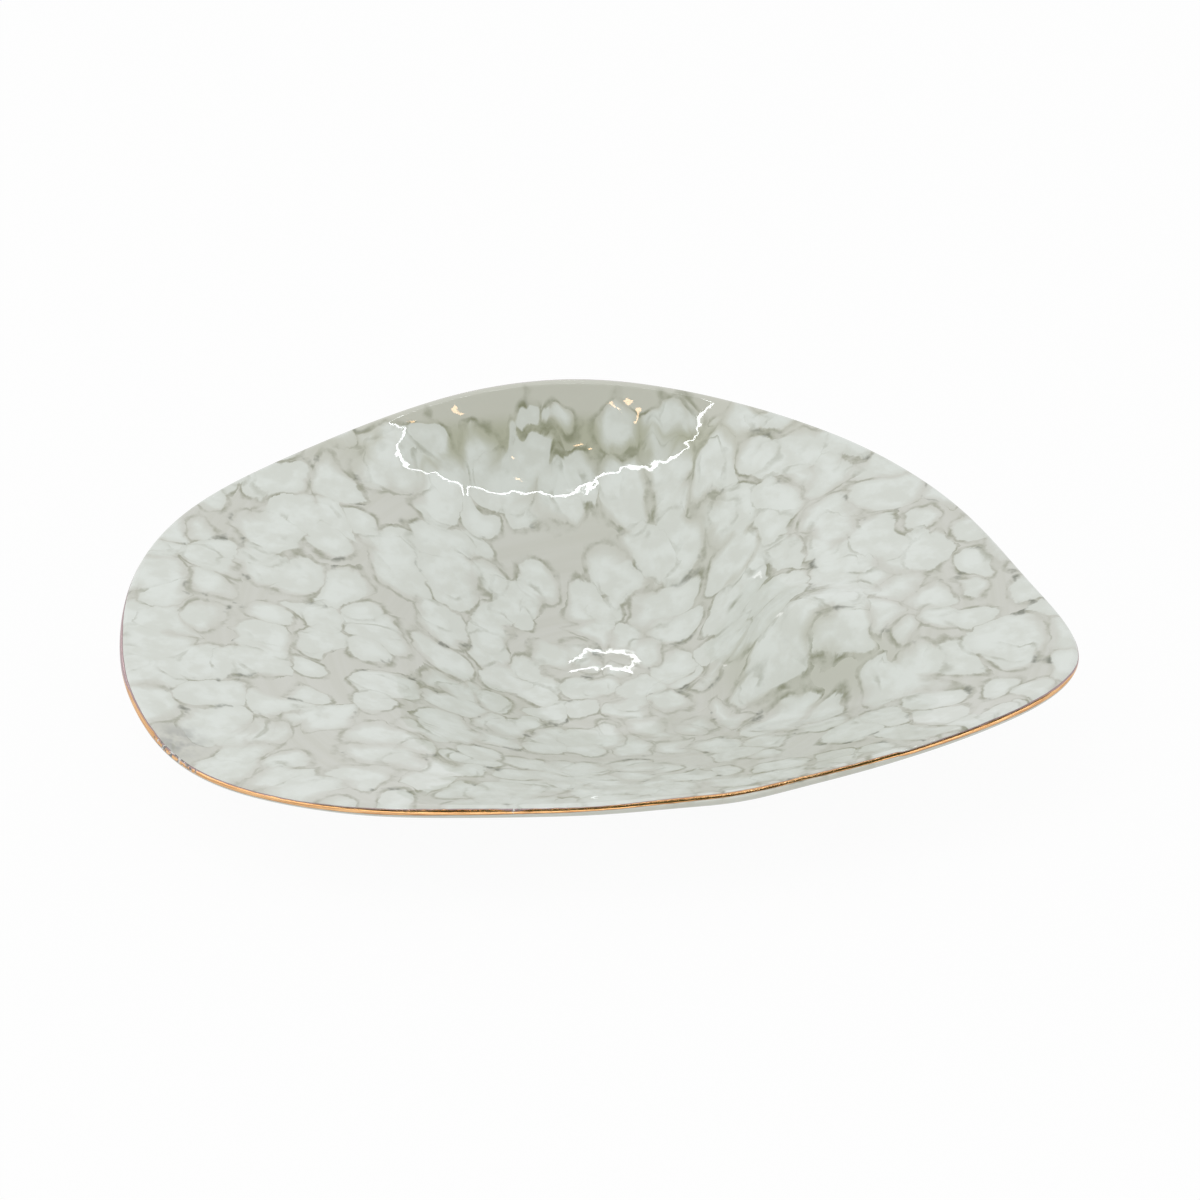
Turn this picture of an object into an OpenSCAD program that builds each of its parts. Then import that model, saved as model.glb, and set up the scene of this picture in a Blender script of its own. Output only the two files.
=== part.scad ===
// Free-form ceramic centrepiece bowl: a thin shell of even thickness with a waving half-round lip, a
// broad flange on the left, a high wall at the back and a pointed corner on the right, standing on a
// luted foot ring. Coats of glaze lie on the clay, and a gold line runs along the lip.

/* [Rim] */
// Length of the rim from left to right, between the inner edges of the lip
rim_l = 326; // [290:1:370]
// Width of the rim from front to back, between the inner edges of the lip
rim_w = 230; // [200:1:270]
// Height of the inner edge of the lip above the table, at its highest point
rim_h = 77; // [66:1:92]

/* [Clay] */
// Thickness of the clay wall, and width of its half-round lip
wall_t = 3.6; // [2.6:0.1:5]
// Thickness of the clay under the middle of the well
floor_t = 4.4; // [3.4:0.1:7]
// Radius of the floor of the well, before it turns up into the wall
floor_r = 34; // [28:1:40]

/* [Foot] */
// Height of the foot ring
foot_h = 6; // [4.5:0.5:10]
// Outer radius of the foot ring's clay
foot_r = 43.6; // [36:0.2:48]
// Width of the foot ring's clay
foot_t = 6.4; // [5:0.2:9]
// Rounding of the foot ring's two lower edges
foot_round = 1.4; // [0.6:0.1:1.8]
// Bare clay wiped clean of glaze above that rounding
foot_bare = 0.8; // [0.3:0.1:1.5]

/* [Glaze and gold] */
// Thickness of every coat of glaze
glaze_t = 0.4; // [0.25:0.05:0.8]
// Thickness of the gold line over the glaze
gold_t = 0.2; // [0.1:0.05:0.4]
// Angle round the lip where the gold line begins, counted from the inner edge
gold_start = 60; // [35:5:80]
// Angle round the lip where the gold line ends
gold_end = 125; // [105:5:165]

/* [Hidden] */
$fn = 96;

// Facets around the bowl, and rings of facets from the middle of the well to the lip
around = 72;
inner_rings = 16;
// The rings crowd towards the wall and the rim, where the shell bends most
crowding = 0.75;
// The lowest ring of the wall that the underside follows before it turns in to the foot
lowest_ring = 7;

// Stations of the outline, anticlockwise as seen from above, starting at the pointed corner.
// Each row holds the station's angle about the middle of the well, the reach of the rim, its height,
// the reach and height of the shoulder, and the reach and height of the wall low in the well.
// A rim reach is a share of one common reach, which the rim's length and width then stretch.
// The other two reaches are shares of the rim's own, and heights are shares of the highest rise.
station_shares = [
    [-15, 1.10, 0.60, 0.48, 0.38, 0.30, 0.10],
    [  2, 0.91, 0.65, 0.45, 0.50, 0.33, 0.13],
    [ 23, 0.87, 0.70, 0.50, 0.54, 0.37, 0.14],
    [ 46, 0.82, 0.79, 0.64, 0.57, 0.44, 0.14],
    [ 70, 0.74, 0.91, 0.82, 0.60, 0.53, 0.13],
    [ 94, 0.72, 1.00, 0.87, 0.58, 0.56, 0.13],
    [117, 0.78, 0.94, 0.83, 0.50, 0.49, 0.12],
    [140, 0.87, 0.79, 0.69, 0.48, 0.38, 0.11],
    [163, 1.07, 0.66, 0.54, 0.44, 0.31, 0.11],
    [187, 1.08, 0.57, 0.53, 0.39, 0.31, 0.11],
    [210, 1.12, 0.48, 0.51, 0.35, 0.30, 0.10],
    [233, 0.93, 0.41, 0.62, 0.30, 0.36, 0.10],
    [257, 0.75, 0.41, 0.77, 0.29, 0.46, 0.08],
    [281, 0.73, 0.45, 0.80, 0.30, 0.48, 0.08],
    [305, 0.79, 0.50, 0.79, 0.32, 0.46, 0.08],
    [328, 0.92, 0.54, 0.70, 0.30, 0.40, 0.07]
];

// Folds pressed into the shell on the right: the nose of the flange, and the trough in front of it.
// Each row holds the place of the fold's middle from the middle of the well, as shares of half the
// rim's length and width, the direction of the fold, its half length and half width as shares of
// half the rim's length, and its rise as a share of the highest rise.
fold_shares = [
    [0.44,  0.01, -24, 0.22, 0.075,  0.10],
    [0.47, -0.24, -22, 0.22, 0.080, -0.12]
];

stations = len(station_shares);
floor_z = foot_h + floor_t;
lip_r = wall_t / 2;
foot_inner_r = foot_r - foot_t;
glaze_line = foot_round + foot_bare;
// Flat land under the well, which the foot ring and its glaze fit exactly
land_r = foot_r + glaze_t;
// Angles of the rings round the lip, from its inner edge at 0 to its outer edge at 180
gold_angles = [gold_start, (gold_start + gold_end) / 2, gold_end];
lip_angles = concat(gold_angles, [180]);

function unit(v) = v / norm(v);

// Uniform cubic B-spline through four neighbouring controls, at t from 0 to 1
function blend(a, b, c, d, t) =
    (a * pow(1 - t, 3) + b * (3 * pow(t, 3) - 6 * pow(t, 2) + 4)
        + c * (3 * t + 3 * pow(t, 2) - 3 * pow(t, 3) + 1) + d * pow(t, 3)) / 6;

// Point of the closed curve round a ring of controls, at the facet number i
function round_point(ring, i) =
    let (
        count = len(ring),
        place = i * count / around,
        k = floor(place)
    )
    blend(ring[(k + count - 1) % count], ring[k % count], ring[(k + 1) % count],
        ring[(k + 2) % count], place - k);

// A run of controls with a straight step added at each end, so that its curve reaches both ends
function with_ends(run) =
    let (last = len(run) - 1)
    concat([2 * run[0] - run[1]], run, [2 * run[last] - run[last - 1]]);

// Point of the open curve along such a run, at a share of its whole way
function run_point(run, share) =
    let (
        spans = len(run) - 3,
        place = share * spans,
        k = min(floor(place), spans - 1)
    )
    blend(run[k], run[k + 1], run[k + 2], run[k + 3], place - k);

// The outline before it is stretched, and what stretches it to the rim's length, width and height
unit_ring = [for (s = station_shares) [s[1] * cos(s[0]), s[1] * sin(s[0]), s[2]]];
unit_outline = [for (i = [0 : around - 1]) round_point(unit_ring, i)];
function extent(points, axis) =
    let (values = [for (p = points) p[axis]])
    [min(values), max(values)];
function span(points, axis) = extent(points, axis)[1] - extent(points, axis)[0];
stretch_x = rim_l / span(unit_outline, 0);
stretch_y = rim_w / span(unit_outline, 1);
rise = (rim_h - floor_z) / extent(unit_outline, 2)[1];

// Control of a station at a share of the rim's reach and at a share of the rise
function control(station, reach_share, height_share) = [
    station[1] * reach_share * cos(station[0]) * stretch_x,
    station[1] * reach_share * sin(station[0]) * stretch_y,
    floor_z + height_share * rise
];
function floor_control(station, radius) =
    [radius * cos(station[0]), radius * sin(station[0]), floor_z];

// Rings of controls, from the middle of the well to the inner edge of the lip
shoulder_controls = [for (s = station_shares) control(s, s[3], s[4])];
rim_controls = [for (s = station_shares) control(s, 1, s[2])];
control_rings = [
    [for (s = station_shares) floor_control(s, 0)],
    [for (s = station_shares) floor_control(s, floor_r / 2)],
    [for (s = station_shares) floor_control(s, floor_r)],
    [for (s = station_shares) control(s, s[5], s[6])],
    shoulder_controls,
    (shoulder_controls + rim_controls) / 2,
    rim_controls
];

// Height that one fold adds at a point: a smooth long hump, or a trough where its rise is negative
function fold_height(fold, p) =
    let (
        dx = p[0] - fold[0] * rim_l / 2,
        dy = p[1] - fold[1] * rim_w / 2,
        along = dx * cos(fold[2]) + dy * sin(fold[2]),
        across = dy * cos(fold[2]) - dx * sin(fold[2])
    )
    fold[5] * rise
        * exp(-pow(along / (fold[3] * rim_l / 2), 2) - pow(across / (fold[4] * rim_l / 2), 2));
function sum(values) = values * [for (value = values) 1];
function folded(p) = p + [0, 0, sum([for (fold = fold_shares) fold_height(fold, p)])];

// Inner face of the clay: its rings of points, and the normal at each, which points into the bowl
runs = [for (i = [0 : around - 1]) with_ends([for (ring = control_rings) round_point(ring, i)])];
face = [for (j = [0 : inner_rings])
    [for (i = [0 : around - 1]) folded(run_point(runs[i], pow(j / inner_rings, crowding)))]];
function tangent(j, i) = face[j][(i + 1) % around] - face[j][(i + around - 1) % around];
function outward(j, i) = face[min(j + 1, inner_rings)][i] - face[j - 1][i];
normals = [for (j = [0 : inner_rings])
    [for (i = [0 : around - 1]) j == 0 ? [0, 0, 1] : unit(cross(outward(j, i), tangent(j, i)))]];

// Ring j of the inner face, moved along its normals: above it for a coat, below it for the underside
function offset_ring(j, distance) = [for (i = [0 : around - 1]) face[j][i] + distance * normals[j][i]];

// Ring round the lip at an angle from the inner edge, over the crest at 90, to the outer edge at 180
function lip_ring(angle, radius) = [for (i = [0 : around - 1])
    let (
        up = normals[inner_rings][i],
        out = unit(cross(tangent(inner_rings, i), up))
    )
    face[inner_rings][i] - lip_r * up + radius * (cos(angle) * up + sin(angle) * out)];

// Edge of the flat land under the well. Its corners lie below those of the lowest ring of the wall,
// just far enough out that no side of it cuts into the circle that the foot's glaze fills.
land_angles = [for (p = face[lowest_ring]) atan2(p[1], p[0])];
land_gap = max([for (i = [0 : around - 1])
    (land_angles[(i + 1) % around] - land_angles[i] + 360) % 360]);
land_corner_r = land_r / cos(land_gap / 2);
function land_ring(z) = [for (angle = land_angles)
    [land_corner_r * cos(angle), land_corner_r * sin(angle), z]];

// Rings of the inner side, from the middle of the well over the lip, with a coat of some thickness
function inner_side(coat) = concat(
    [[face[0][0] + [0, 0, coat]]],
    [for (j = [1 : inner_rings]) offset_ring(j, coat)],
    [for (angle = lip_angles) lip_ring(angle, lip_r + coat)]);

// Rings of the outer side, from the lip's outer edge down to the land, with a coat of some thickness
function outer_side(coat) = concat(
    [lip_ring(180, lip_r + coat)],
    [for (j = [inner_rings - 1 : -1 : lowest_ring]) offset_ring(j, -wall_t - coat)],
    [land_ring(foot_h - coat)]);

// Rings of the gold line over the glaze
function gold_side(coat) =
    [for (angle = gold_angles) lip_ring(angle, lip_r + glaze_t + coat)];

function reversed(rings) = [for (k = [len(rings) - 1 : -1 : 0]) rings[k]];
function without_first(rings) = [for (k = [1 : len(rings) - 1]) rings[k]];

// Faces between two rings of a skin. Each quad is cut along its shorter diagonal, so skins that lie
// on each other share their facets. A ring of one point closes the skin there.
function first_index(rings, k) = k == 0 ? 0 : len(rings[0]) + (k - 1) * around;
function band(rings, k, m) =
    let (
        a = rings[k],
        b = rings[m],
        ka = first_index(rings, k),
        kb = first_index(rings, m)
    )
    [for (i = [0 : around - 1])
        let (n = (i + 1) % around)
        each len(a) == 1 ? [[ka, kb + n, kb + i]]
            : len(b) == 1 ? [[ka + i, ka + n, kb]]
            : norm(a[i] - b[n]) < norm(a[n] - b[i])
                ? [[ka + i, ka + n, kb + n], [ka + i, kb + n, kb + i]]
                : [[ka + i, ka + n, kb + i], [ka + n, kb + n, kb + i]]];

// Solid whose skin runs through the rings in turn, from the upper side round to the lower side
module skin(rings, closed_loop = false) {
    last = len(rings) - 1;
    polyhedron(
        points = [for (ring = rings) each ring],
        faces = concat(
            [for (k = [0 : last - 1]) each band(rings, k, k + 1)],
            closed_loop ? band(rings, last, 0) : []),
        convexity = 6);
}

// The origin is on the table, under the middle of the box that the lip and its gold line fill
lip_points = [for (ring = concat(inner_side(glaze_t), gold_side(gold_t))) each ring];
function middle(axis) = (extent(lip_points, axis)[0] + extent(lip_points, axis)[1]) / 2;
well_place = [-middle(0), -middle(1), 0];

// Thin clay shell with its half-round lip and the flat land for the foot
module clay_body() {
    color("#e6dfd2")
    translate(well_place)
    skin(concat(inner_side(0), without_first(outer_side(0)), [[[0, 0, foot_h]]]));
}

// Turned ring of clay, luted to the land, with rounded lower edges and a flat tread
module foot_ring() {
    color("#d9cfbd")
    translate(well_place)
    rotate_extrude() {
        translate([foot_inner_r, foot_round])
        square([foot_t, foot_h - foot_round]);
        translate([foot_inner_r + foot_round, 0])
        square([foot_t - 2 * foot_round, foot_round]);
        for (r = [foot_inner_r + foot_round, foot_r - foot_round])
            translate([r, foot_round])
            circle(r = foot_round);
    }
}

// Mottled coat over the inside and over the lip, down to its outer edge
module inner_glaze() {
    color("#d5dbd4")
    translate(well_place)
    skin(concat(inner_side(glaze_t), reversed(inner_side(0))));
}

// Plain coat on the underside, from the lip's outer edge to the foot
module outer_glaze() {
    color("#c9cec2")
    translate(well_place)
    skin(concat(outer_side(glaze_t), reversed(outer_side(0))), closed_loop = true);
}

// Plain coat round the outer side of the foot ring
module foot_glaze() {
    color("#c9cec2")
    translate(well_place)
    rotate_extrude()
    translate([foot_r, glaze_line])
    square([glaze_t, foot_h - glaze_line]);
}

// Plain coat inside the foot ring: over the land, and down the ring's inner side
module recess_glaze() {
    color("#c9cec2")
    translate(well_place)
    rotate_extrude()
    polygon([
        [0, foot_h],
        [0, foot_h - glaze_t],
        [foot_inner_r - glaze_t, foot_h - glaze_t],
        [foot_inner_r - glaze_t, glaze_line],
        [foot_inner_r, glaze_line],
        [foot_inner_r, foot_h]
    ]);
}

// Gold lustre along the crest and the outer shoulder of the lip
module gold_line() {
    color("#c08a4e")
    translate(well_place)
    skin(concat(gold_side(gold_t), reversed(gold_side(0))), closed_loop = true);
}

clay_body();
foot_ring();
inner_glaze();
outer_glaze();
foot_glaze();
recess_glaze();
gold_line();
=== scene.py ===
# %% [markdown]
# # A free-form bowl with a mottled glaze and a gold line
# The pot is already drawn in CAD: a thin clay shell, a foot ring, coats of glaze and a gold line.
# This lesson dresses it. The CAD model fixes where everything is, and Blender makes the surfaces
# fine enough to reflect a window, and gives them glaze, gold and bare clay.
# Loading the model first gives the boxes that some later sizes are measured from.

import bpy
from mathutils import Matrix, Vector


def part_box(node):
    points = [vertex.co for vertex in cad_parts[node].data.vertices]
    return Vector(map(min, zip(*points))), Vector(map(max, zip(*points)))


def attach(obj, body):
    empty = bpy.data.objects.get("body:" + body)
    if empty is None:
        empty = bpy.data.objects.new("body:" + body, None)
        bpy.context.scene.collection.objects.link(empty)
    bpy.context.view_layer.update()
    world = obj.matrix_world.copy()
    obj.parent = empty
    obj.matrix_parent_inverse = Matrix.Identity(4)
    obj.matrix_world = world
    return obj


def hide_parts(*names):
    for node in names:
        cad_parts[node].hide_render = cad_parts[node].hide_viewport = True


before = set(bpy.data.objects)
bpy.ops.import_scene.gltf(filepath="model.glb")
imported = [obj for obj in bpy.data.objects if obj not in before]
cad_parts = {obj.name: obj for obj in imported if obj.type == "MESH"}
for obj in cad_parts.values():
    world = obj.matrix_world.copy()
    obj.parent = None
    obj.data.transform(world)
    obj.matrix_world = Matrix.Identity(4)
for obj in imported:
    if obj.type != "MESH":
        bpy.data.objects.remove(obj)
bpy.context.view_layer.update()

# %% Modules and units
import functools
import math

import bpy
import numpy as np
from mathutils import Vector

MM = 0.001


def new_object(name, data):
    """An object with its data, linked to the scene."""
    made = bpy.data.objects.new(name, data)
    bpy.context.scene.collection.objects.link(made)
    return made


# %% [markdown]
# ## Sizes from the frame
# The foot ring is a turned ring, so its box gives the middle of the well, the foot's radius and its
# height, and the coat on it the thickness of the glaze. What no box shows, such as the clay's
# thickness, is written again as the CAD model has it. The width alone is a hair less than the CAD's
# 230, so that this finer rim stays inside the CAD box.

# %% Measure the frame
foot_low, foot_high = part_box("foot_ring")
well = Vector(((foot_low.x + foot_high.x) / 2, (foot_low.y + foot_high.y) / 2, 0))
foot_r = (foot_high.x - foot_low.x) / 2
foot_h = foot_high.z
glaze_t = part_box("foot_glaze")[1].x - foot_high.x
wall_t = 3.6 * MM
lip_r = wall_t / 2
floor_t = 4.4 * MM
floor_z = foot_h + floor_t
floor_r = 34 * MM
rim_l = 326 * MM
rim_w = 229.95 * MM
rim_h = 77 * MM
print("well", well, "foot radius", foot_r, "foot height", foot_h, "glaze", glaze_t)

# %% [markdown]
# ## Camera
# The photograph is taken to look down by thirty degrees from a metre and a half. The camera is
# placed so, and its lens makes the bowl fill the square frame as it does there.

# %% Place the camera
camera_distance = 1.5
camera_elevation = math.radians(30)
look_at = well + Vector((-3, 18, 40)) * MM
sensor = 36.0
lens = 126.55

camera_data = bpy.data.cameras.new("camera")
camera_data.sensor_width = sensor
camera_data.lens = lens
camera = new_object("camera", camera_data)
away = Vector((0, -math.cos(camera_elevation), math.sin(camera_elevation)))
camera.location = look_at + away * camera_distance
camera.rotation_euler = away.to_track_quat("Z", "Y").to_euler()
camera_data.clip_end = 30
bpy.context.scene.camera = camera
bpy.context.scene.view_settings.view_transform = "Standard"
print("camera at", camera.location)

# %% [markdown]
# ## Node helpers
# Geometry Nodes and materials are both trees of nodes. One short function adds a node, fills its
# inputs with plain values or with links, and sets its options. The others do sums. A socket knows
# the tree that it belongs to, so a sum finds its tree from what it is given.

# %% Helpers for node trees
def fill(node, inputs):
    """Fills inputs, given by name or number, with values or with other nodes' sockets."""
    for key, value in inputs.items():
        if isinstance(value, bpy.types.NodeSocket):
            node.id_data.links.new(value, node.inputs[key])
        else:
            node.inputs[key].default_value = value
    return node


def add(tree, kind, inputs=None, **settings):
    """Adds a node, with its settings and its inputs."""
    made = tree.nodes.new(kind)
    for label, value in settings.items():
        setattr(made, label, value)
    return fill(made, inputs or {})


def tree_of(*values):
    """The tree that the first socket among some values belongs to."""
    return next(value.id_data for value in values if isinstance(value, bpy.types.NodeSocket))


def calc(operation, *values):
    """One step of arithmetic on numbers."""
    inputs = dict(enumerate(values))
    return add(tree_of(*values), "ShaderNodeMath", inputs, operation=operation).outputs[0]


plus, minus, times, divide, times_plus = (
    functools.partial(calc, operation)
    for operation in ("ADD", "SUBTRACT", "MULTIPLY", "DIVIDE", "MULTIPLY_ADD"))


def vector_calc(operation, *values):
    """One step of arithmetic on vectors. A number that scales a vector is the fourth input."""
    inputs = dict(enumerate(values))
    if operation == "SCALE":
        inputs[3] = inputs.pop(1)
    made = add(tree_of(*values), "ShaderNodeVectorMath", inputs, operation=operation)
    return made.outputs["Value" if operation == "LENGTH" else "Vector"]


def go(start, way, distance):
    """The point that lies a distance along a way from a start."""
    return vector_calc("ADD", start, vector_calc("SCALE", way, distance))


def split(vector):
    return add(tree_of(vector), "ShaderNodeSeparateXYZ", {0: vector}).outputs


def join(x, y, z):
    return add(tree_of(x, y, z), "ShaderNodeCombineXYZ", {0: x, 1: y, 2: z}).outputs[0]


def ramp(value, low, high, out_low=0.0, out_high=1.0):
    """Smooth step of a value from low to high, onto out_low to out_high."""
    inputs = {"Value": value, "From Min": low, "From Max": high, "To Min": out_low, "To Max": out_high}
    return add(tree_of(value), "ShaderNodeMapRange", inputs, interpolation_type="SMOOTHSTEP").outputs[0]


# %% Helpers for Geometry Nodes
def new_tree(name, inputs):
    """A Geometry Nodes tree with named inputs, each a name, a kind and a first value."""
    tree = bpy.data.node_groups.new(name, "GeometryNodeTree")
    tree.interface.new_socket("Geometry", in_out="OUTPUT", socket_type="NodeSocketGeometry")
    tree.interface.new_socket("Geometry", in_out="INPUT", socket_type="NodeSocketGeometry")
    for label, kind, value in inputs:
        socket = tree.interface.new_socket(label, in_out="INPUT", socket_type="NodeSocket" + kind)
        if value is not None:
            socket.default_value = value
    return tree, add(tree, "NodeGroupInput").outputs


def end_tree(geometry, material):
    """Ends a tree in real geometry with its material, and returns the tree."""
    tree = tree_of(geometry)
    smooth = add(tree, "GeometryNodeSetShadeSmooth", {"Geometry": geometry})
    real = add(tree, "GeometryNodeRealizeInstances", {"Geometry": smooth.outputs[0]})
    painted = add(tree, "GeometryNodeSetMaterial", {"Geometry": real.outputs[0], "Material": material})
    add(tree, "NodeGroupOutput", {"Geometry": painted.outputs[0]})
    return tree


def sample(geometry, value, index):
    """A vector read from another geometry at a point's number."""
    inputs = {"Geometry": geometry, "Value": value, "Index": index}
    made = add(tree_of(geometry), "GeometryNodeSampleIndex", inputs, data_type="FLOAT_VECTOR")
    return made.outputs[0]


def whole(value):
    return add(tree_of(value), "FunctionNodeFloatToInt", {0: value}, rounding_mode="ROUND").outputs[0]


def numbered_grid(tree, rows, columns):
    """A grid of points, with the row and the column that each of them is in."""
    grid = add(tree, "GeometryNodeMeshGrid", {"Vertices X": rows, "Vertices Y": columns})
    number = add(tree, "GeometryNodeInputIndex").outputs[0]
    row = calc("FLOOR", divide(plus(number, 0.5), columns))
    return grid.outputs[0], row, minus(number, times(row, columns))


def carried(tree, label):
    """A vector that the source object's points carry under a name."""
    made = add(tree, "GeometryNodeInputNamedAttribute", {"Name": label}, data_type="FLOAT_VECTOR")
    return made.outputs["Attribute"]


def moved_to(grid, placed):
    inputs = {"Geometry": grid, "Position": placed}
    return add(tree_of(grid), "GeometryNodeSetPosition", inputs).outputs[0]


def mark_and_weld(geometry, marks, distance):
    """Stores numbers on the points for the material, then welds the points that meet."""
    tree = tree_of(geometry)
    for label, value in marks.items():
        inputs = {"Geometry": geometry, "Name": label, "Value": value}
        made = add(tree, "GeometryNodeStoreNamedAttribute", inputs, data_type="FLOAT", domain="POINT")
        geometry = made.outputs[0]
    inputs = {"Geometry": geometry, "Distance": distance}
    return add(tree, "GeometryNodeMergeByDistance", inputs).outputs[0]


def point_object(name, points):
    """An object of loose points, for a tree to read."""
    mesh = bpy.data.meshes.new(name)
    mesh.from_pydata([tuple(p) for p in points], [], [])
    return new_object(name, mesh)


def grow(source, tree, name, values):
    """Runs a tree on a source object, and keeps the result as a plain mesh at the origin."""
    modifier = source.modifiers.new("tree", "NODES")
    modifier.node_group = tree
    sockets = [item for item in tree.interface.items_tree if item.in_out == "INPUT"]
    identifiers = {socket.name: socket.identifier for socket in sockets}
    for label, value in values.items():
        modifier[identifiers[label]] = value
    bpy.context.view_layer.update()
    graph = bpy.context.evaluated_depsgraph_get()
    mesh = bpy.data.meshes.new_from_object(
        source.evaluated_get(graph), preserve_all_data_layers=True, depsgraph=graph)
    mesh.name = name
    source.modifiers.remove(modifier)
    print(name, len(mesh.vertices), "vertices", len(mesh.polygons), "faces")
    return new_object(name, mesh)


# %% [markdown]
# ## The shape of the shell
# The bowl was pressed over a free-form mould, so no circle or profile describes it. Sixteen stations
# round the rim do: each says how far the rim, the shoulder and the low wall reach from the middle of
# the well, and how high they stand. A smooth spline through such a net is the shell's inner face.
# The table is the same one that the CAD model is made from.

# %% Stations of the outline
station_shares = [
    (-15, 1.10, 0.60, 0.48, 0.38, 0.30, 0.10),
    (2, 0.91, 0.65, 0.45, 0.50, 0.33, 0.13),
    (23, 0.87, 0.70, 0.50, 0.54, 0.37, 0.14),
    (46, 0.82, 0.79, 0.64, 0.57, 0.44, 0.14),
    (70, 0.74, 0.91, 0.82, 0.60, 0.53, 0.13),
    (94, 0.72, 1.00, 0.87, 0.58, 0.56, 0.13),
    (117, 0.78, 0.94, 0.83, 0.50, 0.49, 0.12),
    (140, 0.87, 0.79, 0.69, 0.48, 0.38, 0.11),
    (163, 1.07, 0.66, 0.54, 0.44, 0.31, 0.11),
    (187, 1.08, 0.57, 0.53, 0.39, 0.31, 0.11),
    (210, 1.12, 0.48, 0.51, 0.35, 0.30, 0.10),
    (233, 0.93, 0.41, 0.62, 0.30, 0.36, 0.10),
    (257, 0.75, 0.41, 0.77, 0.29, 0.46, 0.08),
    (281, 0.73, 0.45, 0.80, 0.30, 0.48, 0.08),
    (305, 0.79, 0.50, 0.79, 0.32, 0.46, 0.08),
    (328, 0.92, 0.54, 0.70, 0.30, 0.40, 0.07),
]
# Place, direction, half length, half width and rise of the nose and of the trough before it
fold_shares = [
    (0.44, 0.01, -24, 0.22, 0.075, 0.10),
    (0.47, -0.24, -22, 0.22, 0.080, -0.12),
]

# %% [markdown]
# ## Marks of hands
# A pressed pot is never quite the shape of its mould. These seven shallow marks are not in the CAD
# model. They were judged from the photograph's outline and reflections, and are a fit to them. The
# last one lifts the slope behind the well's middle, so that the glaze there mirrors what stands above
# the back rim, where the lit frame is.

# %% Marks that hands left
# Place from the well, direction, half length, half width and rise, in millimetres and degrees
hand_marks = [
    (32, 91, 0, 12, 9, -1.2),
    (-74, 81, 0, 14, 9, -0.8),
    (-134, -94, -33, 28, 18, -1.8),
    (-49, -117, 0, 34, 16, 1.3),
    (43, -109, 10, 18, 14, -1.4),
    (-158, -60, 70, 22, 16, 1.5),
    (-1, 29, 0, 45, 12, 0.8),
]
print(len(hand_marks), "marks")

# %% [markdown]
# ## From shares to a net of points
# The spline doesn't touch its controls, so the outline that it makes is measured first, and the net
# is stretched until that outline has the bowl's length and width.

# %% Control net
stations = len(station_shares)
(angle, rim_reach, rim_share, shoulder_reach, shoulder_share,
 wall_reach, wall_share) = np.array(station_shares).T
direction = np.stack([np.cos(np.radians(angle)), np.sin(np.radians(angle))], axis=1)
curve_steps = 720


def spline(a, b, c, d, t):
    """Uniform cubic B-spline through four neighbouring controls."""
    return (a * (1 - t) ** 3 + b * (3 * t ** 3 - 6 * t ** 2 + 4)
            + c * (3 * t + 3 * t ** 2 - 3 * t ** 3 + 1) + d * t ** 3) / 6


def around_spline(ring, steps):
    """Closed curve round one ring of controls."""
    place = np.arange(steps) * len(ring) / steps
    k = np.floor(place).astype(int)
    turned = [np.take(ring, k + n, axis=0, mode="wrap") for n in (-1, 0, 1, 2)]
    return spline(*turned, (place - k)[:, None])


unit_rim = np.column_stack([direction * rim_reach[:, None], rim_share])
outline = around_spline(unit_rim, curve_steps)
stretch = np.array([rim_l, rim_w]) / np.ptp(outline[:, :2], axis=0)
rise = (rim_h - floor_z) / outline[:, 2].max()


def control_ring(reach, height):
    return np.column_stack([direction * (rim_reach * reach)[:, None] * stretch, floor_z + height * rise])


def floor_ring(radius):
    return np.column_stack([direction * radius, np.full(stations, floor_z)])


rim_controls = control_ring(np.ones(stations), rim_share)
shoulder_controls = control_ring(shoulder_reach, shoulder_share)
rings = [
    floor_ring(0), floor_ring(floor_r / 2), floor_ring(floor_r),
    control_ring(wall_reach, wall_share), shoulder_controls,
    (shoulder_controls + rim_controls) / 2, rim_controls,
]
net = np.array([2 * rings[0] - rings[1], *rings, 2 * rings[-1] - rings[-2]])
print("control net:", net.shape[0], "rings of", net.shape[1], "stations; rise", rise)

# %% [markdown]
# ## A Geometry Nodes tree that lofts the face
# A main piece whose shape follows a rule is a good job for Geometry Nodes: the tree reads the
# net's points by number, mixes sixteen of them for every point of a fine grid, and presses the two
# folds into the result. A slow noise adds the unevenness of clay pressed by hand. Changing one
# named input redraws the whole shell.

# %% Tree that lofts the face
def spline_weights(t):
    """What each of four neighbouring controls counts for at t, as nodes."""
    rest = minus(1.0, t)
    first = divide(calc("POWER", rest, 3.0), 6.0)
    last = divide(calc("POWER", t, 3.0), 6.0)
    square = times(t, t)
    second = times_plus(square, times_plus(t, 0.5, -1.0), 2 / 3)
    sum_of_three = plus(plus(first, second), last)
    return first, second, minus(1.0, sum_of_three), last


def weighted_sum(points, weights):
    total = vector_calc("SCALE", points[0], weights[0])
    for point, weight in zip(points[1:], weights[1:]):
        total = vector_calc("ADD", total, vector_calc("SCALE", point, weight))
    return total


def fold_height(x, y, fold, height):
    """Smooth long hump, or a trough where its height is negative."""
    centre_x, centre_y, turn, half_length, half_width = fold
    cosine, sine = math.cos(math.radians(turn)), math.sin(math.radians(turn))
    dx, dy = minus(x, centre_x), minus(y, centre_y)
    along = plus(times(dx, cosine), times(dy, sine))
    across = minus(times(dy, cosine), times(dx, sine))
    long_part = calc("POWER", divide(along, half_length), 2.0)
    wide_part = calc("POWER", divide(across, half_width), 2.0)
    return times(calc("EXPONENT", times(plus(long_part, wide_part), -1.0)), height)


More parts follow.
